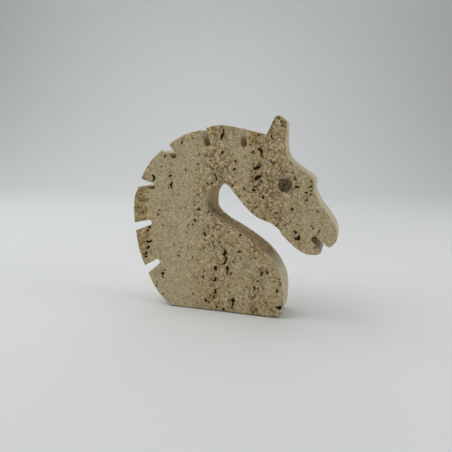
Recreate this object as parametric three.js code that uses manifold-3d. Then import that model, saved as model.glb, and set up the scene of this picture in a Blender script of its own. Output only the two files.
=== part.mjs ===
// A horse's head sawn from one slab of travertine, standing on its flat base.
// Millimetres. +X is the way the horse faces, +Y is the back of the slab, +Z is up.
import * as THREE from "three";
import { mergeVertices } from "three/addons/utils/BufferGeometryUtils.js";
import Module from "manifold-3d";

const wasm = await Module();
wasm.setup();

// Driving dimensions
const SLAB_THICKNESS = 30;
const EDGE_EASE = 0.8; // the sawn edges are rubbed round by this much
const EASE_STEPS = 2;
const CURVE_STEPS = 3; // straight steps for each point of a curve
const SLOT_END_RADIUS = 2.4; // the saw slots of the mane and the mouth end in this radius

// The eye, drilled with a tapered bit to a flat floor, the same on both faces
const EYE = { x: 98, z: 111.2, rimRadius: 5.7, floorRadius: 4.6, depth: 3.5, sides: 40 };

// The outline is drawn clockwise as [x, z] points, from the rear corner of the base.
// Each tooth of the mane is a curve through its own points, from one saw slot to the next.
const MANE_TEETH = [
  [[0, 0], [-5.5, 4.3], [-11.5, 10.3], [-17.8, 19.3], [-22.2, 28.6]],
  [[-25.2, 34.9], [-28.8, 43], [-31.6, 53], [-33.7, 66.6]],
  [[-34.5, 73.3], [-35.2, 85], [-34.2, 96], [-30.2, 105.6]],
  [[-27.4, 112.3], [-24.8, 118], [-18, 128], [-7.8, 137.3]],
  [[-1.4, 142], [5, 146.2], [14.5, 151], [27, 154]],
  [[31.2, 155.4], [37.5, 157.3], [48, 157.7], [60.8, 155.5]],
  [[65, 154.5], [73, 152.7], [78.5, 151], [81.9, 150.8]],
];

// The saw slots, in the order of the gaps between the teeth: each ends in a round about its centre.
// In one slot the lower wall drops from a shoulder on its way to the round.
const MANE_SLOTS = [
  { end: [-13.2, 39.3] },
  { end: [-20.6, 74.1] },
  { end: [-16.7, 106.2] },
  { end: [3.2, 132.5], shoulder: [-1.3, 134.4] },
  { end: [33, 143] },
  { end: [63.7, 142.6] },
];

// The ear, up from its rear notch, round its tip and down into the forehead and brow
const EAR_TO_BROW = [
  [81.9, 150.8], [83.9, 155.5], [86.3, 160.8], [88.5, 164.3], [91, 165], [94.6, 163.3], [97, 160.6],
  [97.8, 156], [97.5, 148], [97.3, 140], [98.6, 134.8], [102.5, 129.9], [110.5, 124.1], [117.3, 119.6],
  [120.3, 116.2], [121, 111.5], [120.8, 107.8],
];

// The nose, down from under the brow and round the upper lip to the mouth
const NOSE_TO_LIP = [
  [120.8, 107.8], [125.7, 98.6], [130.6, 92.6], [135, 87], [138.5, 80.8], [140.5, 74.6], [139.8, 69.4],
  [137.3, 65.5], [134.2, 63.4], [132.3, 64.3],
];

const MOUTH_SLOT_END = [122.7, 69.4];

// The lower lip, the chin and the lower edge of the jaw as far as its small step
const CHIN = [
  [128.8, 60], [127.4, 57.5], [122.5, 56.4], [116.5, 56.7], [110, 59.8], [103.4, 64.9], [98.2, 69.8],
  [95.6, 72.6],
];
const JAW_STEP = [94.8, 74.9];
const JAW_CORNER = [88, 79.9];

// The underside of the jaw, the throat and the chest, down to the front corner of the base
const THROAT_TO_BASE = [
  JAW_CORNER, [81.5, 82], [76.5, 83.9], [70.6, 87.9], [64.6, 93.8], [59.4, 99.7], [54.3, 105.5],
  [50.6, 109.4], [46.2, 111.3], [40.8, 109.7], [36.3, 106], [33.4, 101], [32.4, 95.4], [33.3, 89.8],
  [36.8, 85.4], [43.5, 80.6], [51.2, 76.4], [59.5, 72.1], [67.1, 67.6], [74.5, 62.9], [81.5, 57.7],
  [87.7, 51.7], [93.2, 44.5], [97.1, 37], [99.4, 29.5], [100.2, 21.5], [100.1, 12.5], [99, 5.6],
  [97.4, 1.9], [94.5, 0],
];

// The saw leaned a little in two places: there the back rim of the cut is this far along +X from
// the front rim, and the lean dies away over its reach.
const CUT_LEANS = [
  { x: 34, z: 95, reach: 9, lean: 2.2 },
  { x: 97, z: 154, reach: 11, lean: -2.2 },
];

// A smooth curve through the points, added to the outline
function curveThrough(outline, points) {
  outline.splineThru(points.slice(1).map(([x, z]) => new THREE.Vector2(x, z)));
}

// The angle, seen from the centre of a round slot end, at which a straight wall from a rim point
// meets the round tangentially; side is +1 for the wall that goes in and -1 for the one that comes out.
function tangentAngle(centre, rim, side) {
  const dx = rim[0] - centre[0];
  const dz = rim[1] - centre[1];
  return Math.atan2(dz, dx) + side * Math.acos(SLOT_END_RADIUS / Math.hypot(dx, dz));
}

// A saw slot: in from the first rim point, round its end and out to the second rim point
function cutSlot(outline, inRim, end, outRim) {
  const inAngle = tangentAngle(end, inRim, 1);
  const outAngle = tangentAngle(end, outRim, -1);
  outline.absarc(end[0], end[1], SLOT_END_RADIUS, inAngle, outAngle, false);
  outline.lineTo(...outRim);
}

function horseHeadOutline() {
  const outline = new THREE.Shape();
  outline.moveTo(...MANE_TEETH[0][0]);
  MANE_TEETH.forEach((tooth, index) => {
    curveThrough(outline, tooth);
    if (index === MANE_SLOTS.length) return;
    const { end, shoulder } = MANE_SLOTS[index];
    if (shoulder) outline.lineTo(...shoulder);
    cutSlot(outline, shoulder ?? tooth.at(-1), end, MANE_TEETH[index + 1][0]);
  });
  curveThrough(outline, EAR_TO_BROW);
  curveThrough(outline, NOSE_TO_LIP);
  cutSlot(outline, NOSE_TO_LIP.at(-1), MOUTH_SLOT_END, CHIN[0]);
  curveThrough(outline, CHIN);
  outline.lineTo(...JAW_STEP);
  outline.lineTo(...JAW_CORNER);
  curveThrough(outline, THROAT_TO_BASE);
  outline.closePath();
  return outline;
}

// Slopes the walls: a point's shift grows from nothing at the front face to the full lean at the back.
function leanTheCuts(geometry) {
  const position = geometry.getAttribute("position");
  for (let i = 0; i < position.count; i++) {
    const x = position.getX(i);
    const z = position.getZ(i);
    const depth = position.getY(i) / SLAB_THICKNESS + 0.5;
    const shift = CUT_LEANS.reduce((sum, cut) => {
      const distance = Math.hypot(x - cut.x, z - cut.z) / cut.reach;
      return sum + cut.lean * Math.exp(-0.5 * distance * distance);
    }, 0);
    position.setX(i, x + shift * depth);
  }
}

function slabGeometry() {
  const flatDepth = SLAB_THICKNESS - 2 * EDGE_EASE;
  const slab = new THREE.ExtrudeGeometry(horseHeadOutline(), {
    depth: flatDepth,
    curveSegments: CURVE_STEPS,
    bevelThickness: EDGE_EASE,
    bevelSize: EDGE_EASE,
    bevelOffset: -EDGE_EASE,
    bevelSegments: EASE_STEPS,
  });
  slab.rotateX(Math.PI / 2);
  slab.translate(0, flatDepth / 2, 0);
  leanTheCuts(slab);
  return slab;
}

// The bit, reaching as far outside the face as inside it; side is -1 for the front face, +1 for the back
function eyeDrill(side) {
  const outerRadius = 2 * EYE.rimRadius - EYE.floorRadius;
  const radii = side > 0 ? [outerRadius, EYE.floorRadius] : [EYE.floorRadius, outerRadius];
  const drill = new THREE.CylinderGeometry(...radii, 2 * EYE.depth, EYE.sides);
  drill.translate(EYE.x, (side * SLAB_THICKNESS) / 2, EYE.z);
  return drill;
}

function solidFrom(geometry) {
  geometry.deleteAttribute("normal");
  geometry.deleteAttribute("uv");
  const merged = mergeVertices(geometry, 1e-4);
  return new wasm.Manifold(
    new wasm.Mesh({
      numProp: 3,
      vertProperties: new Float32Array(merged.getAttribute("position").array),
      triVerts: new Uint32Array(merged.index.array),
    }),
  );
}

function geometryFrom(solid) {
  const mesh = solid.getMesh();
  const geometry = new THREE.BufferGeometry();
  geometry.setAttribute("position", new THREE.BufferAttribute(mesh.vertProperties, 3));
  geometry.setIndex(new THREE.BufferAttribute(mesh.triVerts, 1));
  geometry.computeVertexNormals();
  return geometry;
}

// The whole head, moved along X so that its bounding box is centred on the origin
function horseHeadGeometry() {
  const solid = [-1, 1].reduce(
    (head, side) => head.subtract(solidFrom(eyeDrill(side))),
    solidFrom(slabGeometry()),
  );
  const geometry = geometryFrom(solid);
  geometry.computeBoundingBox();
  const { min, max } = geometry.boundingBox;
  geometry.translate(-(min.x + max.x) / 2, 0, -min.z);
  return geometry;
}

const travertine = new THREE.MeshStandardMaterial({ color: 0xb3a283, roughness: 0.85, metalness: 0 });

const horseHead = new THREE.Mesh(horseHeadGeometry(), travertine);
horseHead.name = "horse_head";

const part = new THREE.Group();
part.add(horseHead);

export default part;
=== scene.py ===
"""A horse's head sawn from a slab of travertine, standing on a pale sweep in soft light.

The stone is made from the CAD node: its mesh is made fine and even, then the pores are carved into it.
Stone positions are in slab millimetres: X from the base's rear corner, Y from the front face to the
back, and Z up from the base. Everything else is in metres, in the frame of the CAD model.
"""

import itertools
import math
from types import SimpleNamespace

import bpy
import numpy as np
from mathutils import Matrix, Vector
from mathutils.bvhtree import BVHTree
from mathutils.kdtree import KDTree


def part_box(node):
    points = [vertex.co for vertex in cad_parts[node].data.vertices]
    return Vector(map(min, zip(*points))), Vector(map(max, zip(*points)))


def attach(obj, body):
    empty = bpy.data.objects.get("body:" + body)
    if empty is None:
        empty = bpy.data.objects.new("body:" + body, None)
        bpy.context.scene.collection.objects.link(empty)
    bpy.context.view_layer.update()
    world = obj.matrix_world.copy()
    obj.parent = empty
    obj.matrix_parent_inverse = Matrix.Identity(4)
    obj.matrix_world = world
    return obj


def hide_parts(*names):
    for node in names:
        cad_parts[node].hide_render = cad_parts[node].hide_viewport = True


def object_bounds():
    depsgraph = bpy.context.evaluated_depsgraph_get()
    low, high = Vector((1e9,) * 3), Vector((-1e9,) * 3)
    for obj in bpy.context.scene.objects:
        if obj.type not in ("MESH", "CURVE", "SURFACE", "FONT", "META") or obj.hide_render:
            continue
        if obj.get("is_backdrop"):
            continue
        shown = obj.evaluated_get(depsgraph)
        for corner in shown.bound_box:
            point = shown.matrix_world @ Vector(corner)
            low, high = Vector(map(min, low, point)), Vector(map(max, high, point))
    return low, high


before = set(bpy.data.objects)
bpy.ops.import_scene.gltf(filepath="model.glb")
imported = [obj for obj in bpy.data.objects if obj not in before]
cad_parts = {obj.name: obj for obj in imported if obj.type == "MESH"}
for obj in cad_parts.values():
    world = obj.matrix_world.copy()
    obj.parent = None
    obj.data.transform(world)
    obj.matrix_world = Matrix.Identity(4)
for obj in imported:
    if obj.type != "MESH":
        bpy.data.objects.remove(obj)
cad_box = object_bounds()

MM = 0.001
NODE = "horse_head"
MANE_REACH = 35.2  # how far the mane reaches behind the base's rear corner
CAD_LOW, CAD_HIGH = (np.array(corner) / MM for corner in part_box(NODE))
SLAB_ORIGIN = np.array([CAD_LOW[0] + MANE_REACH, CAD_LOW[1], CAD_LOW[2]])
SLAB_THICKNESS = CAD_HIGH[1] - CAD_LOW[1]

# The camera, in metres and degrees, with the lens and the sensor's width in millimetres
CAMERA_PLACE = (0.0939, -0.3543, 0.1380)
CAMERA_AZIMUTH = 15.886
CAMERA_ELEVATION = 10.02
CAMERA_ROLL = 0.869
CAMERA_LENS = 34.25
SENSOR_WIDTH = 36
NEAREST_SEEN = 0.01

# The sweep of pale paper: the floor, its bend and the wall behind
SWEEP_FLAT = 0.95  # how far behind the object the floor stays flat
SWEEP_RADIUS = 0.75
SWEEP_HEIGHT = 1.6
SWEEP_FRONT = 1.6
SWEEP_HALF_WIDTH = 2.2
BEND_STEPS = 24

# Each light is a disc: its name, its place, the point it faces, its width, its power and its tint
LIGHTS = [
    ["ceiling", (-0.14, 0.40, 1.6), (-0.14, 0.40, 0), 3.0, 16.0, (0.98, 1.0, 0.985)],
    ["left_key", (-0.866, -0.246, 1.2), (0, 0, 0), 1.5, 9.8, (0.99, 1.0, 0.975)],
    ["backdrop", (-0.28, 0.92, 0.7), (-0.31, 1.02, 0), 1.0, 0.4, (0.98, 1.0, 1.0)],
    ["right_fill", (1.14, 0.01, 0.45), (0, 0, 0.08), 0.7, 3.8, (1.0, 0.98, 0.95)],
]
FILL_STRENGTH = 0.10  # of the even light from all round

# The mesh
VOXEL = 0.38
FACE_LIMIT = 190_000
ROUNDING_PASSES = 3  # smoothing passes that take the sawn arrises round

# The bedding stands upright in the slab. Each band is [X, coarseness, ochre stain], from rear to front.
BANDS = [
    [-40, 0.75, 0.9],
    [-24, 0.75, 0.9],
    [-19, 0.40, 0.30],
    [-12, 0.12, 0.02],
    [18, 0.14, 0.02],
    [28, 0.62, 0.20],
    [38, 0.80, 0.30],
    [52, 0.85, 0.25],
    [59, 0.50, 0.12],
    [66, 0.45, 0.15],
    [73, 0.95, 0.40],
    [84, 0.90, 0.30],
    [98, 0.75, 0.25],
    [106, 0.70, 0.24],
    [112, 0.48, 0.16],
    [118, 0.34, 0.08],
    [145, 0.12, 0.03],
]

# Where the stone is finer than its band: the centre, the reach and how much finer
FINER_SPOTS = [
    [70, 42, 17, 0.5], [88, 28, 24, 0.4], [54, 142, 13, 0.5], [103, 97, 11, 0.5], [62, 124, 9, 0.4],
    [115, 84, 15, 0.5], [41, 58, 18, 0.4], [46, 22, 14, 0.3],
]

# Where ochre has soaked in beyond its bands: the centre, the reach and the strength of the stain
OCHRE_SPOTS = [
    [74, 149, 10, 0.95], [36, 153, 8, 0.6], [92, 79, 6, 0.85], [83, 89, 15, 0.5], [38, 12, 14, 0.6],
    [86, 12, 15, 0.5], [77, 119, 13, 0.45], [90, 153, 9, 0.5], [107, 72, 9, 0.45], [99, 127, 9, 0.4],
]

BASE_GAP = 0.8  # the gap under the edges of the base
BASE_GAP_REACH = 8  # how far in from the faces the gap closes

# The eye's recess: its centre, its radius, and how far below a face its painted shade and roughening start
# and end
EYE = {"x": 98, "z": 111.2, "radius": 6, "rim": 0.35, "reach": 8}

# Where the cut walls are shaded and brown, painted as shade mixed with dirt: the centre, the reach and the
# strength of that painted shade and dirt, at the ends of the saw slots and the mouth, in the throat and
# down the top of the chest
SHADE_AND_DIRT_SPOTS = [
    [-13.2, 39.3, 4, 0.6], [-20.6, 74.1, 5, 1], [-16.7, 106.2, 13, 1.5], [3.2, 132.5, 7, 0.9],
    [33, 143, 8, 0.9], [63.7, 142.6, 7.5, 0.7], [122.7, 69.4, 9, 0.85], [36, 100, 16, 0.45],
    [38, 88, 12, 0.6], [50, 78, 14, 0.5], [66, 68, 16, 0.5], [80, 59, 14, 0.4],
]

# The openings of the upper saw slots, whose walls are painted light where light falls in from above: the
# centre, the reach and the strength
SLOT_LIGHT_SPOTS = [[-4, 139.5, 5, 1], [29.5, 153, 9, 1], [62.5, 153, 9, 1], [66.5, 148, 6, 1]]

# The open pores of the front face. Each is a chain of beads [X, Z, radius], joined into one hole.
FRONT_PORES = [
    [[-16.5, 115.8, 0.6], [-15.2, 114.8, 0.9], [-14.9, 113, 1], [-15.3, 111.3, 0.6], [-16.8, 110.7, 0.5]],
    [[-24.6, 112.2, 0.42], [-23.4, 112.2, 0.42]], [[-21.8, 101.3, 0.35], [-20.5, 101, 0.49]],
    [[-27.4, 99.2, 0.56], [-26.5, 98.2, 0.49]], [[-29.8, 102.4, 0.42], [-29, 101, 0.35]],
    [[-31, 94, 0.35], [-29.8, 93.2, 0.42]], [[-26.2, 93.4, 0.49], [-24.5, 93, 0.35]],
    [[-25.2, 95.4, 0.4], [-23.4, 95.2, 0.4], [-21.5, 95.2, 0.5], [-21.2, 94, 0.5]],
    [[-29.2, 83.2, 0.49], [-28.5, 82.2, 0.35]], [[-26.2, 83.1, 0.63], [-25.2, 83.8, 0.28]],
    [[-31.6, 84.2, 0.42]], [[-31, 88.2, 0.42], [-30.2, 87, 0.49]],
    [[-23.4, 88, 0.49], [-22.6, 86.2, 0.42], [-22.6, 85, 0.35]], [[-11.8, 81.6, 0.7], [-12, 82.9, 0.4]],
    [[-10.1, 85.6, 0.6], [-9.2, 86.6, 0.4]],
    [[-22, 71, 0.5], [-20.4, 71, 1], [-19.5, 70.6, 1], [-19.8, 69.4, 0.6]],
    [[-21.8, 67.3, 0.8], [-21.1, 66.8, 0.6]], [[-22.3, 62.2, 0.5], [-21.6, 61.8, 0.5]],
    [[-24.1, 60.8, 0.5]],
    [[-23.5, 57.3, 0.5], [-22, 57.1, 0.9], [-20.3, 56.4, 0.4], [-19.2, 57.3, 0.6], [-18.6, 58.3, 0.9]],
    [[-22.3, 51.3, 0.9], [-21.4, 52, 1.1], [-20.9, 53, 0.8]],
    [[-27.4, 45.1, 0.4], [-25.8, 45.2, 0.5], [-24.3, 45.6, 0.6], [-23.6, 46.7, 0.9]],
    [[-25.4, 43.6, 0.6], [-23.8, 43.3, 0.8], [-22.6, 44.2, 0.5], [-22.2, 45, 0.4]], [[-19.3, 46.6, 0.5]],
    [[-18.8, 49.5, 0.4]], [[-28.6, 54, 0.5], [-28, 53, 0.5]], [[-26.6, 49.5, 0.5]], [[-13.9, 17.4, 0.7]],
    [[-13.8, 21.4, 0.5], [-13.3, 20.5, 0.5]], [[-4.8, 132, 0.8], [-4.4, 132.2, 0.8]],
    [[10.2, 142.8, 0.6], [10.6, 143.7, 0.6], [11.2, 144.8, 0.6]], [[9.7, 140.3, 0.6]], [[7, 142.3, 0.4]],
    [[8.8, 137, 0.4]], [[-7.8, 123.3, 0.6]], [[1.3, 124.5, 0.4], [1.2, 126, 0.4]], [[-0.5, 121.6, 0.5]],
    [[0.5, 119, 0.5]], [[14, 120.6, 0.6], [13.8, 121.7, 0.5]], [[8.7, 133.3, 0.5]], [[11.3, 131.5, 0.4]],
    [[16, 146, 0.4]], [[20.3, 147, 0.5], [19.5, 149, 0.4]], [[11, 147, 0.4], [13, 146.2, 0.4]],
    [[17.6, 140.3, 0.5]], [[-1.2, 115.3, 0.5], [0, 115.6, 0.9], [1, 116.3, 0.6]],
    [[0.8, 114.3, 0.35], [1.3, 112.8, 0.4], [0.9, 111.4, 0.35], [1.3, 109.8, 0.6], [0.4, 107.8, 0.9],
     [1.3, 106, 0.7]],
    [[-1.4, 105.4, 0.6], [-0.9, 106.2, 0.4]],
    [[2, 105, 0.3], [2.8, 103.8, 0.3], [3.2, 102.2, 0.3], [4, 101, 0.3]], [[-8.5, 110.6, 0.4]],
    [[12.1, 110.3, 0.5], [11, 110.8, 0.3]], [[4.3, 115.2, 0.4]], [[-4.5, 91.4, 0.5]], [[4.9, 95.4, 0.4]],
    [[5.1, 82.8, 0.4]], [[9.5, 88.2, 0.6]], [[14, 89.3, 0.5], [14.1, 88.5, 0.4]],
    [[-7.3, 72.6, 0.6], [-6.5, 72.8, 0.5]], [[-6.4, 70.1, 0.5]], [[-8.6, 74.8, 0.4]], [[5.8, 72, 0.5]],
    [[16.3, 81, 0.5], [17, 83, 0.4]], [[21.4, 94.4, 0.5], [20.9, 95.1, 0.4]],
    [[20.8, 92, 0.4], [22.5, 91.3, 0.4]], [[16.6, 75, 0.5]], [[20.6, 75.1, 0.7]], [[21.5, 86.9, 0.4]],
    [[22, 79.3, 0.7], [23.1, 78, 0.6]], [[22.2, 104, 0.5]],
    [[24, 100.5, 0.3], [24.9, 101.3, 0.5], [25.6, 100.2, 0.6], [26.2, 99.5, 0.4]],
    [[26.3, 88.2, 0.9], [25.3, 88.4, 0.5], [24, 87.6, 0.4], [23.2, 87, 0.3]], [[26.4, 113.6, 0.5]],
    [[25.5, 110.2, 0.4]], [[24.2, 126.2, 0.5], [25, 126.3, 0.6], [26, 126.4, 0.5]],
    [[24, 142, 0.4], [25, 142, 0.5]], [[-12.5, 65, 0.4]], [[-0.8, 66.6, 0.5]], [[4.8, 68.8, 0.4]],
    [[14.8, 68.4, 0.4], [14.9, 67.6, 0.5]], [[2.9, 55.6, 0.5], [3.8, 56.3, 0.4]],
    [[15.8, 56.5, 0.5], [16.1, 57.2, 0.4]], [[16.7, 54.5, 0.4], [16.6, 52.8, 0.4]], [[19.4, 55, 0.5]],
    [[7.1, 46.8, 0.6], [8, 46.9, 0.5]], [[8.5, 50.2, 0.5], [8.2, 49.6, 0.4]],
    [[20.3, 46.5, 0.6], [20.2, 45.4, 0.4], [19, 44.1, 0.4], [17.5, 43.4, 0.4], [15.8, 42.3, 0.3]],
    [[7.5, 41, 0.4]], [[-4, 36.2, 0.4]], [[-8.8, 33.8, 0.5]], [[-6.1, 32.7, 0.7]],
    [[-7.9, 29, 1.1], [-7.3, 30, 0.8]], [[-8.3, 25.9, 0.6], [-7, 26.1, 0.6]],
    [[-8, 10.7, 0.6], [-7.4, 10.3, 0.5]], [[12, 8.2, 0.6]], [[15.6, 9.9, 0.4]], [[21.3, 13, 0.6]],
    [[23, 17.7, 0.4]], [[25.2, 6.2, 0.5], [25.2, 5.2, 0.5]], [[23.1, 2.4, 0.5]],
    [[25.8, 24.8, 0.4], [25, 24, 0.3]], [[29.9, 31.1, 0.4], [30.1, 30, 0.7], [29.6, 29.2, 0.5]],
    [[30.8, 27.5, 0.4], [30.3, 27.1, 0.3]], [[30.7, 34.6, 0.5], [31.6, 34.8, 0.5]],
    [[32, 9.2, 0.8], [33, 8.2, 0.7], [33.6, 7.5, 0.4]], [[36.3, 14.5, 0.5], [37.3, 13.9, 0.5]],
    [[36.3, 12, 0.5]], [[36.5, 9.2, 0.4], [36, 8.2, 0.5], [35.4, 6.8, 0.6]],
    [[37, 22.8, 0.5], [38.3, 22.9, 0.4]],
    [[42.4, 20, 0.4], [41.1, 18.8, 0.8], [41.6, 17, 0.8], [40, 15.8, 0.5]],
    [[40.6, 13.6, 0.6], [40.2, 12.2, 0.5], [39.8, 11.4, 0.6]],
    [[41.3, 39.9, 0.7], [41, 38.3, 1.2], [41.3, 37.4, 0.9]], [[41, 38.5, 0.9], [39.8, 39.2, 0.5]],
    [[41.5, 30, 0.7], [41, 28.3, 0.8], [40, 26.9, 0.7]], [[41.8, 4.8, 0.5], [42.8, 3.9, 0.7]],
    [[38, 1.7, 0.5]], [[45, 7, 0.5]], [[48.3, 2.5, 0.8], [48.9, 2.1, 0.9]],
    [[31.9, 69, 0.5], [31.2, 68.2, 0.6], [30.5, 68.5, 0.6], [31.3, 67.2, 0.8], [32.2, 66.2, 0.6]],
    [[31.2, 62.5, 0.6]], [[31.3, 55.9, 0.4]], [[27, 53.7, 0.5], [28, 53.5, 0.4]],
    [[36.3, 59.6, 0.4], [35.7, 58.5, 0.5]], [[38.7, 60.8, 0.7], [38, 61.1, 0.4]],
    [[38.8, 58.8, 0.5], [40, 57.4, 0.6], [40.2, 56, 0.4]], [[44.9, 61.3, 0.6], [43.5, 61.3, 0.4]],
    [[45, 66, 0.5]], [[38.6, 66, 0.5], [37.5, 67.4, 0.4]], [[38, 73.2, 0.5], [38.5, 74, 0.4]],
    [[43.7, 72.3, 0.6]], [[41.5, 76, 0.6], [42, 77.5, 0.4]], [[34.8, 75, 0.4], [35, 73.4, 0.4]],
    [[51, 70.4, 0.5]],
    [[45.5, 59, 0.4], [45.8, 57.5, 0.4], [47.3, 56.5, 0.4], [48.8, 55.5, 0.4], [49.2, 54.4, 0.9],
     [50.2, 52.8, 1], [49, 51.5, 1], [47.7, 50.8, 0.7]],
    [[49.3, 49.8, 0.6], [50, 48.3, 0.6], [50.8, 47.5, 0.8], [50.6, 46.2, 0.7], [50, 45, 0.5],
     [49.4, 43.8, 0.7], [48.4, 43.2, 0.5], [46.8, 42.2, 0.4], [45.3, 41, 0.35], [44, 40.4, 0.35]],
    [[51.9, 41.7, 0.5], [51.8, 40.2, 0.8], [51.3, 39, 1], [52.1, 37.8, 0.6], [52, 36, 0.6],
     [51.8, 34.8, 0.4]],
    [[51.3, 39.1, 0.6], [49.9, 39.3, 0.4]], [[54.7, 34.4, 0.6], [55.6, 36.1, 0.4]],
    [[41.2, 47.3, 0.4], [42, 47.1, 0.4]], [[60.7, 54.4, 0.5], [61.9, 54.5, 0.8], [62.9, 54.5, 0.6]],
    [[61.8, 55.2, 0.4], [61.7, 56, 0.3]], [[56.9, 45.3, 0.7], [57.6, 44.9, 0.4]], [[57.6, 48, 0.5]],
    [[62.6, 49.2, 0.5], [63.4, 48.3, 0.5]], [[66.6, 41.4, 0.5]], [[68.3, 43.7, 0.5]],
    [[62.4, 68.8, 0.8], [61.9, 67.4, 0.5]], [[62.6, 68.9, 0.5], [63.6, 69.3, 0.4]],
    [[57.8, 13.2, 0.7], [57, 12, 1.1], [58, 11.3, 1], [57, 9.7, 0.7], [57.3, 8.3, 0.7], [57, 7.2, 0.8],
     [56.2, 5.8, 0.5], [55.9, 4.3, 0.5]],
    [[57, 11.6, 0.8], [55.3, 11, 0.5]], [[52.8, 5.4, 0.5]], [[53.8, 18.2, 0.6]], [[66.6, 9.1, 0.5]],
    [[66.8, 21.8, 0.6]], [[60.8, 26.1, 0.5]], [[56.3, 31, 0.5]], [[48.6, 24.7, 0.4]],
    [[75.3, 25.8, 0.4], [75.5, 24.8, 0.8], [75.6, 23.2, 0.6]], [[78.6, 24.4, 0.6]],
    [[77.2, 30.8, 0.3], [78, 30.6, 0.7]],
    [[81.2, 38.5, 0.8], [82, 37.3, 0.6], [81, 36.1, 0.8], [80.2, 35.4, 0.4]],
    [[79.3, 40.4, 0.6], [80, 41, 0.4]], [[85.1, 41.5, 0.4], [85.6, 40, 0.5], [86, 38.5, 0.8]],
    [[76.3, 18.5, 0.5], [75.8, 17, 0.5], [74.6, 15.8, 0.4]], [[71.2, 18, 0.3], [70.8, 16, 0.4]],
    [[96.2, 34.1, 0.6]], [[97.3, 30.4, 0.5], [96.7, 29.3, 0.5]], [[92.3, 35, 0.5]],
    [[90.5, 26, 0.4], [91.5, 26.3, 0.3]], [[94.8, 25, 0.4], [94.9, 23.8, 0.8], [94.8, 22.3, 0.5]],
    [[94.3, 19.2, 0.5]], [[90.3, 18.5, 0.4]],
    [[94.2, 9.2, 0.5], [95.5, 9.3, 0.7], [97, 9.3, 1.4], [98.2, 10.4, 0.6]],
    [[85.3, 13, 0.5], [86.2, 11.4, 0.5], [87.2, 10.5, 0.4]], [[76.8, 12, 0.4]],
    [[77.4, 5.8, 0.6], [78.8, 6.2, 0.5], [78.7, 4.6, 0.4]], [[75.4, 4.5, 0.5]], [[74.8, 56.1, 0.6]],
    [[75.1, 50, 0.5]], [[73, 49.8, 0.3], [71.5, 49.3, 0.4]], [[80.3, 48.6, 0.6]], [[82, 45.7, 0.4]],
    [[71.3, 36, 0.4], [73, 36.3, 0.3]],
    [[46.6, 154, 0.6], [47, 151.5, 0.6], [45.8, 149.6, 1.1], [45.4, 148, 0.9], [45.2, 146.3, 0.5]],
    [[54.5, 154.5, 0.35], [55, 150.5, 0.35]], [[31.7, 134, 0.5], [32.5, 132.2, 0.5]],
    [[46.3, 136.4, 0.7], [45.5, 135, 0.5]], [[57, 129, 0.8]], [[55.8, 122.5, 0.8], [56.5, 123.3, 0.6]],
    [[36.5, 123.5, 0.5], [38.5, 122.3, 0.5]],
    [[38.5, 118.3, 0.5], [40, 117.8, 0.6], [41.2, 116, 0.6], [41.3, 113.5, 0.6]],
    [[40.3, 127, 0.5], [42, 126.5, 0.4]], [[69, 142.3, 0.6]], [[70, 136.3, 0.5], [72, 137, 0.5]],
    [[74.4, 149.9, 0.5], [75.6, 149.9, 0.6]],
    [[75.5, 139, 0.7], [77, 139.2, 0.9], [78.5, 137.3, 0.8], [78, 135, 0.6], [79.3, 133, 0.6]],
    [[77, 127.3, 0.6]], [[73.3, 123.7, 1.1], [75.5, 124.8, 1], [78, 125.5, 0.7]], [[73.8, 120.8, 0.6]],
    [[71, 121.4, 0.6]], [[79, 120.2, 0.6]], [[74.5, 115.5, 1.1], [76, 117.3, 1.1], [77.7, 117.8, 0.8]],
    [[78.3, 114.3, 0.8], [79.2, 113.3, 0.6]], [[77, 111.3, 0.6]], [[73, 109.5, 0.5], [75.5, 109.2, 0.5]],
    [[72, 106.5, 0.8], [73, 106.5, 0.8]], [[77.3, 106, 0.5]],
    [[64.6, 108, 0.4], [64.8, 106.8, 0.7], [64.8, 105.9, 0.5]], [[80.5, 100.7, 0.8], [81.3, 102, 0.6]],
    [[91, 162.6, 0.6]], [[93.7, 159.6, 0.5], [94.3, 159.6, 0.4]], [[94.3, 157.6, 0.6]],
    [[86.6, 159, 0.5], [87.4, 159, 0.4]], [[86, 155, 0.4]],
    [[86.6, 151.3, 0.4], [85.9, 149, 0.6], [86.7, 147, 0.4]], [[84, 145.4, 0.5]],
    [[86, 129.3, 0.5], [88, 128, 0.5]], [[83.8, 126.2, 0.4], [87, 125, 0.4]], [[96, 122, 0.5]],
    [[97.5, 124, 0.4]], [[88.8, 137.3, 0.4]], [[103, 121.3, 0.5], [103.8, 121.3, 0.5]],
    [[104.5, 119, 0.4], [105.8, 116, 0.6]], [[106.5, 110.3, 0.7], [108.2, 110.2, 0.7]],
    [[118.3, 114.8, 0.65]], [[120, 113, 0.4]], [[118.5, 111.2, 0.65]], [[117.2, 110.4, 0.65]],
    [[120, 108.9, 0.4]], [[118.3, 107.2, 0.52]], [[118, 104.8, 0.65]], [[114, 106, 0.6], [115.2, 106, 0.6]],
    [[114.4, 103.9, 0.4], [115.2, 103.9, 0.4]],
    [[114.6, 99.9, 0.6], [115.4, 101, 0.4], [116.2, 100.1, 0.5]], [[95.8, 96.8, 0.4], [97.2, 96.8, 0.4]],
    [[87, 97, 0.4], [89, 97.5, 0.4]], [[90.3, 98.7, 0.4]], [[86.5, 103, 0.4], [87.5, 101, 0.4]],
    [[84.8, 92.8, 0.5]],
    [[90.2, 89.8, 0.4], [92, 88.9, 0.5], [93.6, 88.1, 0.4], [94.6, 86.9, 0.4], [94.8, 85, 0.5],
     [94.5, 83.2, 0.4]],
    [[103.9, 92.7, 0.8], [104.6, 92.1, 0.8]], [[107.8, 93.3, 0.5]], [[109, 98, 0.3]],
    [[124.1, 92.3, 0.6]], [[92.2, 78.7, 0.6], [93.2, 78.1, 0.4]], [[103.5, 82.8, 0.5]],
    [[109.1, 80.5, 0.5]], [[104.5, 77.7, 0.4]], [[107, 74.8, 0.6], [107.9, 73.8, 0.8]],
    [[110.8, 72, 0.4], [110.2, 70.3, 1], [110.6, 69, 0.9], [110, 67.5, 0.6]],
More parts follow.
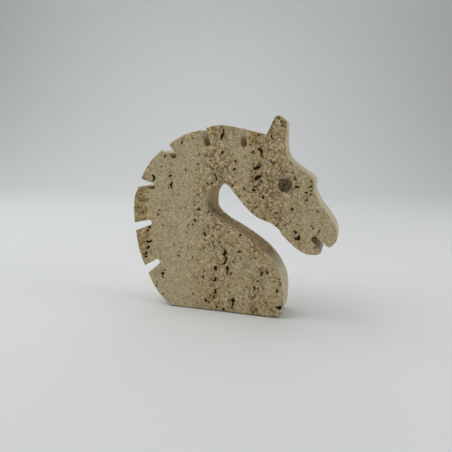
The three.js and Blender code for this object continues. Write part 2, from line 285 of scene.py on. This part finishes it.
    [[106.6, 69.3, 0.4], [108, 68.9, 0.7], [109.5, 69.2, 0.8]], [[110.7, 63.4, 0.5]],
    [[113.1, 59.8, 0.4]], [[123.4, 62.8, 0.6]], [[115.3, 65.8, 0.4]], [[120.1, 80.2, 0.6]],
    [[121.6, 79.3, 0.3], [121.3, 78.3, 0.6], [120.5, 78.6, 0.4]], [[120, 82.9, 0.3], [121.5, 83.1, 0.4]],
    [[126.3, 76.8, 0.5], [125.7, 75.4, 0.5]], [[124.2, 74.8, 0.4]], [[125, 72.9, 0.5]],
    [[138.4, 77, 0.4]], [[137.6, 70, 0.4]], [[51.6, 112, 0.5]], [[55, 109, 0.7]], [[61.2, 101, 0.6]],
    [[32.6, 112.5, 0.4], [32.8, 110.5, 0.5], [34, 109.9, 0.5], [35, 109.8, 0.4]],
    [[36, 112, 0.3], [37.4, 111, 0.7], [36.8, 110.2, 0.5]], [[36.9, 106.9, 0.4], [38.3, 108, 0.4]],
]

# Pores in the walls of the throat and the chest and in the eye, as chains of beads [X, Y, Z, radius]
WALL_PORES = [
    [[32.7, 6, 92.7, 1.0]], [[35.8, 10, 86.3, 1.4]], [[37.4, 15, 84.7, 0.9]], [[47.8, 7.5, 78.2, 1.1]],
    [[45.5, 1, 79.4, 0.8]], [[34.6, 22, 96, 0.8]], [[76.3, 13.5, 61.6, 0.9]], [[65.6, 10, 68.5, 1.2]],
    [[84.7, 10, 54.7, 0.7], [86, 8.5, 53.4, 0.6], [87.2, 7, 52.2, 0.7]], [[102.7, 2.2, 110, 0.9]],
]

# The pores that only chance places: how many, the smallest and largest radius, and their shape
LARGE_PORES = {"count": 420, "radii": (0.5, 1.5), "stretch": (0.6, 1.1, 1.5), "seed": 11}
SMALL_PORES = {"count": 2600, "radii": (0.3, 0.62), "stretch": (0.8, 1.0, 1.25), "seed": 23}
PORE_TILT = 14  # the spread of the chance pores' tilts, in degrees
PORE_SQUEEZE = (0.75, 1.3)  # the least and most that each width of a chance pore is multiplied by
PORE_SINK = 0.3  # how far below the surface the centre of a chance pore is, as a share of its size

PORE_DEPTH = 1.7  # of a placed pore, as a multiple of its radius
PORE_RIM = 1.2  # how much wider the worn rim of a placed pore is than its beads
PORE_CENTRE = 0.25  # how far below the face the centre of a placed pore is, as a share of its depth
FULL_DEPTH_RADIUS = 0.65  # beads smaller than this are shallower still
DEEPEST_PORE = 3.2
PORE_STAIN = 0.6  # how far the brown stain reaches from a pore

# What makes the pores' outlines uneven: how far a point is moved, the size of the lumps and the seeds
PORE_WARPS = [[0.32, 1.3, (31, 32, 33)], [0.2, 0.7, (34, 35, 36)]]
WARP_MARGIN = 0.6  # how far beyond its radius a pore looks for warped points
SEARCH_CELL = 3.0  # the side of the grid's cells in that search

# The wear of the sawn surface
FINE_WEAR = 0.02  # the deepest roughness of the finest stone
COARSE_WEAR = 0.07  # how much deeper that is in the coarsest
SWELL = 0.05  # the mean depth of the slow swells
EYE_WEAR = 0.22  # the mean depth of the roughness in the eye

# How a surface's place is told from how squarely it faces the front or the back, from 0 to 1
FLAT_FACING = 0.95  # from here up it is a flat face
CUT_SPREAD = 0.5  # and this much lower it is wholly a cut wall
ARRIS_FACING = 0.62  # the middle of the rounded arris between them
ARRIS_SPREAD = 0.34
FRONT_NORMAL = -0.9  # the normal's Y is below this on the front face
UNDERSIDE_HEIGHT = 1.5  # the underside's points are lower than this


# ---------------------------------------------------------------- noise and bands


NOISE_TABLE = 4096
HASH_PRIMES = (73856093, 19349663, 83492791)  # they scatter neighbouring cells over the table
SPOT_STEEPNESS = 1.6  # a spot of strength 1 is whole over the inner three eighths of its reach


def value_noise(points, size, seed):
    """Smooth noise from -1 to 1 at the points, with lumps about size across."""
    table = np.random.default_rng(seed).uniform(-1, 1, NOISE_TABLE)
    scaled = points / size
    cell = np.floor(scaled).astype(np.int64)
    share = scaled - cell
    share = share * share * (3 - 2 * share)
    total = np.zeros(len(points))
    for corner in itertools.product((0, 1), repeat=3):
        x, y, z = ((cell + np.array(corner)) * HASH_PRIMES).T
        weight = np.prod(np.where(np.array(corner), share, 1 - share), axis=1)
        total += weight * table[(x ^ y ^ z) % NOISE_TABLE]
    return total


def near_spots(points, spots):
    """The strength of the strongest spot at each point: whole round its centre, nothing at its reach."""
    strongest = np.zeros(len(points))
    for x, z, reach, strength in spots:
        away = np.hypot(points[:, 0] - x, points[:, 2] - z)
        fading = np.clip(SPOT_STEEPNESS * strength * (1 - away / reach), 0, min(strength, 1))
        strongest = np.maximum(strongest, fading)
    return strongest


def band_values(points, column):
    """A column of BANDS at the points. The bands wander by some 3 mm up the slab, and 1.4 mm locally."""
    wander = 3.0 * value_noise(points * (0, 0.5, 1), size=34, seed=3)
    wander += 1.4 * value_noise(points, size=11, seed=4)
    bands = np.array(BANDS)
    values = np.interp(points[:, 0] + wander, bands[:, 0], bands[:, column])
    return values * (1 - near_spots(points, FINER_SPOTS))


# ---------------------------------------------------------------- the stone's mesh


def to_slab(points):
    """Metres in the CAD frame to slab millimetres."""
    return points / MM - SLAB_ORIGIN


def to_frame(points):
    """Slab millimetres to metres in the CAD frame."""
    return (points + SLAB_ORIGIN) * MM


def read_vertices(mesh, attribute="co"):
    values = np.zeros(len(mesh.vertices) * 3, np.float32)
    mesh.vertices.foreach_get(attribute, values)
    return values.reshape(-1, 3).astype(float)


def apply_modifier(piece, kind, **settings):
    modifier = piece.modifiers.new(kind.lower(), kind)
    for name, value in settings.items():
        setattr(modifier, name, value)
    graph = bpy.context.evaluated_depsgraph_get()
    changed = bpy.data.meshes.new_from_object(piece.evaluated_get(graph))
    piece.modifiers.clear()
    old = piece.data
    piece.data = changed
    bpy.data.meshes.remove(old)


def chain(beads):
    """The beads [X, Y, Z, radius] of a chain, with more between them so that they make one hole."""
    beads = np.array(beads, float)
    yield beads[0]
    for start, end in itertools.pairwise(beads):
        spacing = 0.5 * min(start[3], end[3])
        steps = math.ceil(np.linalg.norm(end[:3] - start[:3]) / spacing)
        for step in range(1, steps + 1):
            yield start + (end - start) * step / steps


def placed_pores():
    """The listed pores, as (centre, radii, axes) in slab millimetres."""
    for beads in FRONT_PORES:
        for x, _, z, radius in chain([[x, 0, z, radius] for x, z, radius in beads]):
            depth = PORE_DEPTH * radius * min(1, radius / FULL_DEPTH_RADIUS)
            opening = radius * PORE_RIM
            yield np.array([x, PORE_CENTRE * depth, z]), np.array([opening, depth, opening]), np.eye(3)
    for beads in WALL_PORES:
        for *centre, radius in chain(beads):
            yield np.array(centre), np.full(3, radius), np.eye(3)


def chance_pores(points, normals, count, radii, stretch, seed, keep_off_front):
    """Pores that chance places on the surface, more of them where the stone is coarse."""
    chance = np.random.default_rng(seed)
    likely = band_values(points, 1) ** 2
    if keep_off_front:
        likely[normals[:, 1] < FRONT_NORMAL] = 0
    chosen = chance.choice(len(points), count, p=likely / likely.sum())
    low, high = radii
    sizes = low + (high - low) * chance.uniform(0, 1, count) ** 2
    tilts = chance.normal(0, PORE_TILT, count)
    squeeze = chance.uniform(*PORE_SQUEEZE, (count, 3))
    for index, size, tilt, squash in zip(chosen, sizes, tilts, squeeze):
        centre = points[index] - PORE_SINK * size * normals[index]
        turn = Matrix.Rotation(math.radians(tilt), 3, "Y")
        yield centre, size * np.array(stretch) * squash, np.array(turn)


def grid_index(points, size):
    """A dictionary from grid cell to the indices of the points in it."""
    cells = np.floor(points / size).astype(np.int64)
    order = np.lexsort(cells.T)
    cells = cells[order]
    breaks = np.flatnonzero(np.any(np.diff(cells, axis=0), axis=1)) + 1
    groups = np.split(order, breaks)
    return {tuple(cells[start]): group for start, group in zip([0, *breaks], groups)}


def near_points(index, size, centre, reach):
    """Indices of the points in the grid cells within reach of the centre."""
    low = np.floor((centre - reach) / size).astype(int)
    high = np.floor((centre + reach) / size).astype(int)
    ranges = [range(first, last + 1) for first, last in zip(low, high)]
    found = [index[cell] for cell in itertools.product(*ranges) if cell in index]
    return np.concatenate(found) if found else np.empty(0, int)


def warp(points):
    """The points moved about a little, so that what they show of a smooth pore is uneven."""
    warped = points.copy()
    for reach, size, seeds in PORE_WARPS:
        warped += reach * np.stack([value_noise(points, size, seed) for seed in seeds], axis=1)
    return warped


def carve_depths(points, normals, pores):
    """How far each point moves inwards, along its normal, to lie on the far side of a pore around it."""
    warped = warp(points)
    index = grid_index(points, SEARCH_CELL)
    depths = np.zeros(len(points))
    for centre, radii, axes in pores:
        near = near_points(index, SEARCH_CELL, centre, radii.max() + WARP_MARGIN)
        at = (warped[near] - centre) @ axes.T / radii
        inside = (at * at).sum(axis=1) < 1
        near, at = near[inside], at[inside]
        if not len(near):
            continue
        # The line inwards leaves the pore at the larger root of a*t*t + 2*b*t + c = 0
        step = -normals[near] @ axes.T / radii
        a = (step * step).sum(axis=1)
        b = (at * step).sum(axis=1)
        c = (at * at).sum(axis=1) - 1
        reach = (-b + np.sqrt(b * b - a * c)) / a
        depths[near] = np.maximum(depths[near], reach)
    return np.minimum(depths, DEEPEST_PORE)


def below_face(points):
    """How far the points are below the nearer of the two flat faces."""
    return np.minimum(points[:, 1], SLAB_THICKNESS - points[:, 1])


def in_eye(points):
    from_eye = np.hypot(points[:, 0] - EYE["x"], points[:, 2] - EYE["z"])
    below = below_face(points)
    return (from_eye < EYE["radius"]) & (below > EYE["rim"]) & (below < EYE["reach"])


def base_gap(points, normals):
    """How far the underside rises towards the slab's faces, so that only its middle touches the floor."""
    rise = BASE_GAP * np.clip(1 - below_face(points) / BASE_GAP_REACH, 0, 1)
    return np.where(points[:, 2] < UNDERSIDE_HEIGHT, rise * np.clip(-normals[:, 2], 0, 1), 0)


def worn_depths(points, normals):
    """How far the surface between the pores is worn: finely, in slow swells, in the eye and underneath."""
    roughness = FINE_WEAR + COARSE_WEAR * band_values(points, 1)
    worn = roughness * (0.5 + 0.5 * value_noise(points, size=0.9, seed=41))
    worn += SWELL * (1 + value_noise(points, size=5, seed=42))
    worn += in_eye(points) * EYE_WEAR * (1 + value_noise(points, size=1.5, seed=43))
    return worn + base_gap(points, normals)


def carve_stone(piece):
    """Opens the pores and roughens the sawn faces a little. Returns the pores."""
    mesh = piece.data
    points = to_slab(read_vertices(mesh))
    normals = read_vertices(mesh, "normal")
    pores = [
        *placed_pores(),
        *chance_pores(points, normals, **LARGE_PORES, keep_off_front=True),
        *chance_pores(points, normals, **SMALL_PORES, keep_off_front=False),
    ]
    inwards = np.maximum(carve_depths(points, normals, pores), worn_depths(points, normals))
    points -= normals * inwards[:, None]
    mesh.vertices.foreach_set("co", to_frame(points).ravel())
    mesh.update()
    return pores


def near_pores(points, pores):
    """1 at the rim of a pore, fading to nothing at PORE_STAIN from it."""
    centres = KDTree(len(pores))
    for index, (centre, _, _) in enumerate(pores):
        centres.insert(centre, index)
    centres.balance()
    nearest = [centres.find(point) for point in points]
    gaps = [distance - pores[index][1].mean() for _, index, distance in nearest]
    return np.clip(1 - np.array(gaps) / PORE_STAIN, 0, 1)


# What describe_stone tells the material about each vertex, each from 0 to 1
ATTRIBUTES = (
    "pore",  # how deep it is in a pore, which sets the pore's painted shade
    "coarse",
    "ochre",
    # eye: where the painted shade of the eye's recess goes
    "eye",
    "cut",  # whether it is on a cut wall
    "shelter",  # whether that wall is shaded, and so painted brown as shade mixed with dirt
    "pale",  # how much painted light that wall gets at the opening of an upper slot
    # arris: how pale the rounded edge is, partly rubbed wear and partly painted highlight
    "arris",
    "back",  # how near it is to the back face
    "stain",  # how near it is to a pore
)
DARKEST_DEPTH = 1.6  # the depth at which a pore is at its darkest


def describe_stone(piece, cad_surface, pores):
    """Writes ATTRIBUTES to the mesh."""
    mesh = piece.data
    vertices = read_vertices(mesh)
    points = to_slab(vertices)
    nearest = [cad_surface.find_nearest(Vector(vertex)) for vertex in vertices]
    depth = np.array([found[3] for found in nearest]) / MM
    facing = np.abs(np.array([found[1].y for found in nearest]))
    cut = np.clip((FLAT_FACING - facing) / CUT_SPREAD, 0, 1)
    arris = np.clip(1 - np.abs(facing - ARRIS_FACING) / ARRIS_SPREAD, 0, 1)
    # painted shade mixed with dirt on the shaded walls
    shade_and_dirt_share = near_spots(points, SHADE_AND_DIRT_SPOTS)
    # painted light on the walls at the openings of the upper slots
    slot_light_share = near_spots(points, SLOT_LIGHT_SPOTS)
    # the pale arrises are partly rubbed wear and partly a painted highlight, stronger by the slots
    wear_and_highlight = np.minimum(0.45 + 0.4 * shade_and_dirt_share + 0.5 * slot_light_share, 1)  # the arrises show most by the slots
    described = (
        depth / DARKEST_DEPTH,
        band_values(points, 1),
        np.maximum(band_values(points, 2), near_spots(points, OCHRE_SPOTS)),
        in_eye(points),
        cut,
        cut * shade_and_dirt_share,
        cut * slot_light_share,
        arris * wear_and_highlight,
        points[:, 1] / SLAB_THICKNESS,
        near_pores(points, pores),
    )
    for name, values in zip(ATTRIBUTES, described, strict=True):
        attribute = mesh.attributes.new(name, "FLOAT", "POINT")
        attribute.data.foreach_set("value", np.clip(values, 0, 1).astype(np.float32))


def make_stone(node):
    cad_surface = BVHTree.FromObject(node, bpy.context.evaluated_depsgraph_get())
    piece = bpy.data.objects.new("stone_horse_head", node.data.copy())
    bpy.context.scene.collection.objects.link(piece)
    piece.data.materials.clear()
    apply_modifier(piece, "REMESH", mode="VOXEL", voxel_size=VOXEL * MM)
    apply_modifier(piece, "SMOOTH", factor=0.5, iterations=ROUNDING_PASSES)
    pores = carve_stone(piece)
    triangles = 2 * len(piece.data.polygons)
    apply_modifier(piece, "DECIMATE", ratio=min(1, FACE_LIMIT / triangles))
    piece.data.polygons.foreach_set("use_smooth", [True] * len(piece.data.polygons))
    describe_stone(piece, cad_surface, pores)
    return piece


# ---------------------------------------------------------------- short names for shader nodes


def add_node(tree, kind, inputs=None, **settings):
    """A shader node with its settings, its inputs set to values or joined to other nodes' outputs."""
    node = tree.nodes.new(kind)
    for name, value in settings.items():
        setattr(node, name, value)
    for socket, value in (inputs or {}).items():
        if isinstance(value, bpy.types.NodeSocket):
            tree.links.new(value, node.inputs[socket])
        else:
            node.inputs[socket].default_value = value
    return node


def noise(tree, vector, scale, detail=3, roughness=0.55):
    inputs = {"Vector": vector, "Scale": scale, "Detail": detail, "Roughness": roughness}
    return add_node(tree, "ShaderNodeTexNoise", inputs).outputs["Fac"]


def ramp(tree, value, start, end, low=0.0, high=1.0):
    """Takes value from start..end to low..high, smoothly, and no further."""
    inputs = {"Value": value, "From Min": start, "From Max": end, "To Min": low, "To Max": high}
    node = add_node(tree, "ShaderNodeMapRange", inputs, interpolation_type="SMOOTHSTEP")
    return node.outputs["Result"]


def maths(tree, operation, *values):
    return add_node(tree, "ShaderNodeMath", dict(enumerate(values)), operation=operation).outputs[0]


def vector_maths(tree, operation, *values):
    return add_node(tree, "ShaderNodeVectorMath", dict(enumerate(values)), operation=operation).outputs[0]


def times(tree, product, *factors):
    for factor in factors:
        product = maths(tree, "MULTIPLY", product, factor)
    return product


def blend(tree, factor, first, second):
    """The first colour where factor is 0, the second where it is 1."""
    inputs = {0: factor, 6: first, 7: second}  # a Mix node's sockets for colours
    return add_node(tree, "ShaderNodeMix", inputs, data_type="RGBA").outputs[2]


def cells(tree, vector, size):
    """Crystal grains: (distance to the grain's edge, a random number for each grain)."""
    inputs = {"Vector": vector, "Scale": 1 / size}
    edge = add_node(tree, "ShaderNodeTexVoronoi", inputs, feature="DISTANCE_TO_EDGE").outputs["Distance"]
    own = add_node(tree, "ShaderNodeTexVoronoi", inputs, feature="F1").outputs["Color"]
    return edge, add_node(tree, "ShaderNodeSeparateColor", {"Color": own}).outputs[0]


def pits(tree, vector, size, share):
    """Small round holes in a share of the cells of that size: 1 in a hole, 0 outside."""
    inputs = {"Vector": vector, "Scale": 1 / size}
    cell = add_node(tree, "ShaderNodeTexVoronoi", inputs, feature="F1")
    chosen = add_node(tree, "ShaderNodeSeparateColor", {"Color": cell.outputs["Color"]})
    radius = ramp(tree, chosen.outputs[0], 0, 1, 0.12, 0.34)
    hole = ramp(tree, maths(tree, "SUBTRACT", cell.outputs["Distance"], radius), -0.08, 0.05, 1, 0)
    return times(tree, hole, maths(tree, "LESS_THAN", chosen.outputs[1], share))


# ---------------------------------------------------------------- the stone's material


def colour(red, green, blue):
    return (red, green, blue, 1.0)


# The fine stone
FINE_DARK = colour(0.418, 0.324, 0.178)
FINE_LIGHT = colour(0.522, 0.424, 0.256)
CREAM = colour(0.66, 0.565, 0.365)
GREENISH = colour(0.50, 0.46, 0.30)

# The coarse stone, its stains, and the gaps and holes in it. The dark of the gaps between grains and of the
# pores is partly dirt and partly painted shade.
SPARRY = colour(1.0, 0.82, 0.52)
GRAIN = colour(0.98, 0.81, 0.52)
TAN = colour(0.42, 0.285, 0.125)
OCHRE = colour(0.62, 0.44, 0.155)
OCHRE_SOAK = colour(0.57, 0.37, 0.125)
BROWN = colour(0.18, 0.104, 0.037)
CREVICE = colour(0.18, 0.112, 0.045)
PIT = colour(0.05, 0.027, 0.01)

# The cut walls, their arrises and their stains, with painted light at the openings of the upper slots, pale
# arrises that are partly rubbed wear and partly painted highlight, and painted shade mixed with dirt on the
# shaded walls
CUT_WALL = colour(0.575, 0.54, 0.43)
WALL_BACK = colour(0.555, 0.55, 0.475)
PAINTED_LIGHT_WALL = colour(0.88, 0.82, 0.67)
ARRIS_WEAR_AND_HIGHLIGHT = colour(0.72, 0.64, 0.465)
SHADE_AND_STAIN = colour(0.53, 0.40, 0.24)
WALL_STREAK = colour(0.20, 0.125, 0.06)
SLOT_SHADE_AND_DIRT = colour(0.135, 0.084, 0.036)

# The eye's floor: painted shade of its recess, speckled darker
SHADED_EYE_FLOOR = colour(0.40, 0.33, 0.205)
SHADED_EYE_SPECKS = colour(0.10, 0.072, 0.037)

# The widths of the crystal grains, and the spacing of the small holes and of the dots between them
LARGE_GRAIN = 2.4
SMALL_GRAIN = 1.25
HOLE_SPACING = 1.7
DOT_SPACING = 2.3
STIR = 1.5  # how far along each axis places are moved, so that all of these are uneven

# How the patterns are drawn out along X, Y and Z: the lower the number, the longer
UPRIGHT = (1, 0.7, 0.48)
ALONG_WALLS = (0.33, 1.1, 0.33)


def in_millimetres(tree, stretch=(1, 1, 1)):
    """The surface's place in millimetres. A stretch below 1 draws a texture out along that axis."""
    place = add_node(tree, "ShaderNodeTexCoord").outputs["Object"]
    scale = [share / MM for share in stretch]
    return add_node(tree, "ShaderNodeMapping", {"Vector": place, "Scale": scale}).outputs[0]


def stir(tree, vector):
    """The places moved by up to STIR along each axis."""
    inputs = {"Vector": vector, "Scale": 0.7, "Detail": 2}
    push = add_node(tree, "ShaderNodeTexNoise", inputs).outputs["Color"]
    push = vector_maths(tree, "MULTIPLY", push, (STIR, STIR, STIR))
    return vector_maths(tree, "ADD", vector, push)


def stone_facts(tree):
    """What the layers of the stone share: places, the mesh's attributes, noises and grains."""
    facts = SimpleNamespace(tree=tree, even=in_millimetres(tree), upright=in_millimetres(tree, UPRIGHT))
    facts.stirred = stir(tree, facts.even)
    for name in ATTRIBUTES:
        setattr(facts, name, add_node(tree, "ShaderNodeAttribute", attribute_name=name).outputs["Fac"])
    facts.mottle = noise(tree, facts.upright, 0.22, 4, 0.65)
    facts.grain = noise(tree, facts.even, 0.9, 2, 0.6)
    patchy = ramp(tree, noise(tree, facts.even, 0.13, 3, 0.6), 0.38, 0.62)
    unshaded_cut = maths(tree, "SUBTRACT", facts.cut, facts.shelter)
    patches = ramp(tree, patchy, 0, 1, 0.5, 1.15)
    facts.rough = times(tree, facts.coarse, patches, ramp(tree, unshaded_cut, 0, 1, 1, 0.4))
    facts.large_edge, facts.large_own = cells(tree, facts.stirred, LARGE_GRAIN)
    facts.small_edge, facts.small_own = cells(tree, facts.stirred, SMALL_GRAIN)
    return facts


def fine_stone(facts):
    """The colour of the fine stone: broad tones, cream mottling and a greenish cast."""
    tree = facts.tree
    tone = ramp(tree, noise(tree, facts.upright, 0.05, 4), 0.35, 0.65)
    mottled = ramp(tree, facts.mottle, 0.42, 0.7, 0, 0.8)
    cast = ramp(tree, noise(tree, facts.upright, 0.035, 3), 0.5, 0.68, 0, 0.55)
    base = blend(tree, tone, FINE_DARK, FINE_LIGHT)
    base = blend(tree, mottled, base, CREAM)
    return blend(tree, cast, base, GREENISH)


def cut_walls(facts, base):
    """Adds the sawn walls: greyer towards the back, with painted light at the upper slots, and painted
    shade mixed with dirt, brown with dark streaks, where shaded.
    """
    tree = facts.tree
    wall = blend(tree, ramp(tree, facts.back, 0.05, 0.7), CUT_WALL, WALL_BACK)
    base = blend(tree, times(tree, facts.cut, 0.85), base, wall)
    # painted light at the openings of the upper slots
    base = blend(tree, facts.pale, base, PAINTED_LIGHT_WALL)
    # painted shade mixed with dirt and stains on the shaded walls, darkest at the slot ends
    base = blend(tree, ramp(tree, facts.shelter, 0, 0.5), base, SHADE_AND_STAIN)
    streak = ramp(tree, noise(tree, in_millimetres(tree, ALONG_WALLS), 0.55, 4, 0.65), 0.50, 0.66)
    streak = times(tree, streak, ramp(tree, facts.shelter, 0.05, 0.5, 0, 0.8))
    base = blend(tree, streak, base, WALL_STREAK)
    return blend(tree, ramp(tree, facts.shelter, 0.5, 1), base, SLOT_SHADE_AND_DIRT)


def crystals(facts, base):
    """Adds the crystals of the coarse stone, stained with ochre: some grains lighter and some tan."""
    tree = facts.tree
    less_on_walls = ramp(tree, facts.cut, 0, 1, 1, 0.4)
    clouds = ramp(tree, noise(tree, facts.upright, 0.12, 4), 0.3, 0.65, 0.25, 1.15)
    stained = times(tree, facts.ochre, clouds, less_on_walls)
    light = times(tree, ramp(tree, facts.rough, 0, 1, 0.42, 0.6), less_on_walls)
    light = times(tree, light, ramp(tree, facts.small_own, 0.2, 0.85))
    blotch = ramp(tree, noise(tree, facts.upright, 0.55, 4, 0.65), 0.50, 0.62)
    base = blend(tree, times(tree, facts.rough, 0.66), base, SPARRY)
    base = blend(tree, stained, base, OCHRE)
    base = blend(tree, times(tree, facts.rough, 0.16, facts.large_own), base, TAN)
    base = blend(tree, light, base, GRAIN)
    base = blend(tree, times(tree, facts.rough, 0.3, blotch), base, TAN)
    return blend(tree, ramp(tree, stained, 0.1, 0.9, 0, 0.5), base, OCHRE_SOAK)


def crevices(facts):
    """The dark gaps between the grains of the coarse stone, open in some places and closed in others:
    partly dirt, partly painted shade.
    """
    tree = facts.tree
    width = ramp(tree, noise(tree, facts.even, 0.35, 3), 0.42, 0.66, 0.0, 0.29)
    large = ramp(tree, maths(tree, "SUBTRACT", facts.large_edge, width), -0.06, 0.03, 1, 0)
    width = ramp(tree, noise(tree, facts.even, 0.5, 3), 0.44, 0.70, 0.0, 0.34)
    small = ramp(tree, maths(tree, "SUBTRACT", facts.small_edge, width), -0.09, 0.04, 1, 0)
    return times(tree, maths(tree, "MAXIMUM", large, small), facts.rough)


def small_holes(facts):
    """The holes too small to carve: more of them in the coarse stone, and dots on all the flat faces."""
    tree = facts.tree
    more_where_coarse = ramp(tree, facts.coarse, 0.05, 0.6, 0.25, 0.75)
    fewer_on_walls = ramp(tree, facts.cut, 0, 1, 0.75, 0.1)
    holes = times(tree, pits(tree, facts.stirred, HOLE_SPACING, share=0.5), more_where_coarse)
    dots = times(tree, pits(tree, facts.stirred, DOT_SPACING, share=0.6), fewer_on_walls)
    return maths(tree, "MAXIMUM", holes, dots)


def wear_and_painted_light(facts, base):
    """Adds the pale arrises, partly rubbed wear and partly painted highlight, the fine grain, the painted
    shade and dirt of the darkest slots and the stain round pores.
    """
    tree = facts.tree
    # pale arrises: partly rubbed wear, partly painted highlight
    base = blend(tree, facts.arris, base, blend(tree, facts.pale, ARRIS_WEAR_AND_HIGHLIGHT, PAINTED_LIGHT_WALL))
    grainy = ramp(tree, facts.rough, 0, 1, 0.5, 0.75)
    base = blend(tree, times(tree, ramp(tree, facts.grain, 0.5, 0.3), grainy), base, GRAIN)
    base = blend(tree, times(tree, ramp(tree, facts.grain, 0.54, 0.70), grainy), base, TAN)
    # more painted shade and dirt at the darkest slot ends
    base = blend(tree, ramp(tree, facts.shelter, 0.92, 1, 0, 0.75), base, SLOT_SHADE_AND_DIRT)
    soak = times(tree, facts.stain, ramp(tree, noise(tree, facts.even, 0.6, 3, 0.6), 0.40, 0.60, 0.1, 0.6))
    soak = times(tree, soak, ramp(tree, facts.coarse, 0, 0.6, 0.35, 1))
    return blend(tree, soak, base, BROWN)


def eye_and_pores(facts, base):
    """Adds the floor of the eye, speckled and darkened as painted shade of its recess, and darkens the
    pores with their depth, as painted shade mixed with dirt.
    """
    tree = facts.tree
    speckled = ramp(tree, noise(tree, facts.even, 0.5, 4, 0.75), 0.44, 0.60)
    # painted shade on the eye's floor, speckled
    base = blend(tree, facts.eye, base, blend(tree, speckled, SHADED_EYE_FLOOR, SHADED_EYE_SPECKS))
    # painted shade with some dirt: the pores darken with their depth
    base = blend(tree, ramp(tree, facts.pore, 0.1, 0.45), base, CREVICE)
    deep = times(tree, ramp(tree, facts.pore, 0.42, 0.8), ramp(tree, facts.grain, 0.35, 0.5, 0.7, 1))
    return blend(tree, deep, base, PIT)


def relief(facts, sunk):
    """The normal of a surface with standing grain and mottling and with sunk crevices and holes."""
    tree = facts.tree
    height = maths(tree, "SUBTRACT", times(tree, facts.grain, 0.5), sunk)
    height = maths(tree, "ADD", height, times(tree, facts.mottle, 0.5))
    inputs = {"Height": height, "Strength": 0.6, "Distance": 0.3 * MM}
    return add_node(tree, "ShaderNodeBump", inputs).outputs[0]


def new_material(name):
    """A material and its shader."""
    material = bpy.data.materials.new(name)
    material.use_nodes = True
    return material, material.node_tree.nodes["Principled BSDF"]


def travertine_material():
    material, shader = new_material("travertine")
    tree = material.node_tree
    facts = stone_facts(tree)
    crevice = crevices(facts)
    holes = small_holes(facts)
    base = fine_stone(facts)
    base = cut_walls(facts, base)
    base = crystals(facts, base)
    # the gaps between grains: partly dirt, partly painted shade
    base = blend(tree, crevice, base, BROWN)
    base = blend(tree, times(tree, holes, 0.9), base, CREVICE)
    base = wear_and_painted_light(facts, base)
    base = eye_and_pores(facts, base)
    tree.links.new(base, shader.inputs["Base Color"])
    tree.links.new(ramp(tree, facts.mottle, 0.3, 0.7, 0.72, 0.92), shader.inputs["Roughness"])
    tree.links.new(relief(facts, maths(tree, "MAXIMUM", crevice, holes)), shader.inputs["Normal"])
    shader.inputs["Specular IOR Level"].default_value = 0.25
    return material


# ---------------------------------------------------------------- floor, light and camera


PAPER = colour(0.79, 0.80, 0.81)
FILL_TINT = colour(0.95, 1.0, 0.985)


def sweep_profile():
    """(Y, Z) points from the front of the floor, round the bend and up the wall."""
    points = [(-SWEEP_FRONT, 0.0), (SWEEP_FLAT, 0.0)]
    for step in range(1, BEND_STEPS + 1):
        angle = math.pi / 2 * step / BEND_STEPS
        points.append((SWEEP_FLAT + SWEEP_RADIUS * math.sin(angle), SWEEP_RADIUS * (1 - math.cos(angle))))
    points.append((SWEEP_FLAT + SWEEP_RADIUS, SWEEP_HEIGHT))
    return points


def paper_material():
    material, shader = new_material("pale_paper")
    shader.inputs["Base Color"].default_value = PAPER
    shader.inputs["Roughness"].default_value = 0.9
    shader.inputs["Specular IOR Level"].default_value = 0.1
    return material


def make_sweep():
    """The paper, turned to lie square to the camera."""
    profile = sweep_profile()
    vertices = [(side * SWEEP_HALF_WIDTH, y, z) for y, z in profile for side in (-1, 1)]
    faces = [(2 * i, 2 * i + 1, 2 * i + 3, 2 * i + 2) for i in range(len(profile) - 1)]
    mesh = bpy.data.meshes.new("sweep")
    mesh.from_pydata(vertices, [], faces)
    mesh.polygons.foreach_set("use_smooth", [True] * len(mesh.polygons))
    mesh.materials.append(paper_material())
    sweep = bpy.data.objects.new("sweep", mesh)
    bpy.context.scene.collection.objects.link(sweep)
    sweep.matrix_world = Matrix.Rotation(math.radians(CAMERA_AZIMUTH), 4, "Z")
    sweep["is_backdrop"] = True


def add_area_light(name, place, aim, size, power, tint):
    light = bpy.data.lights.new(name, "AREA")
    light.shape = "DISK"
    light.size = size
    light.energy = power
    light.color = tint
    lamp = bpy.data.objects.new(name, light)
    bpy.context.scene.collection.objects.link(lamp)
    lamp.location = place
    lamp.rotation_euler = (Vector(aim) - Vector(place)).to_track_quat("-Z", "Y").to_euler()


def light_studio():
    """A faint even fill from all round, and the soft lights."""
    world = bpy.data.worlds.new("soft_fill")
    bpy.context.scene.world = world
    world.use_nodes = True
    background = world.node_tree.nodes["Background"]
    background.inputs["Color"].default_value = FILL_TINT
    background.inputs["Strength"].default_value = FILL_STRENGTH
    for light in LIGHTS:
        add_area_light(*light)


def make_camera():
    """Looks down on the object from its front right."""
    azimuth, elevation, roll = map(math.radians, (CAMERA_AZIMUTH, CAMERA_ELEVATION, CAMERA_ROLL))
    turn = Matrix.Rotation(azimuth, 4, "Z") @ Matrix.Rotation(math.pi / 2 - elevation, 4, "X")
    camera = bpy.data.cameras.new("camera")
    camera.lens = CAMERA_LENS
    camera.sensor_width = SENSOR_WIDTH
    camera.clip_start = NEAREST_SEEN
    holder = bpy.data.objects.new("camera", camera)
    bpy.context.scene.collection.objects.link(holder)
    holder.matrix_world = Matrix.Translation(CAMERA_PLACE) @ turn @ Matrix.Rotation(roll, 4, "Z")
    bpy.context.scene.camera = holder


# ---------------------------------------------------------------- the scene


bpy.context.scene.view_settings.view_transform = "Standard"
make_camera()
light_studio()
make_sweep()

stone = make_stone(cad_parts[NODE])
stone.data.materials.append(travertine_material())
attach(stone, "root")
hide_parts(NODE)

bpy.context.view_layer.update()
boxes = {"cad": cad_box, "visual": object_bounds()}
{name: [list(corner) for corner in box] for name, box in boxes.items()}
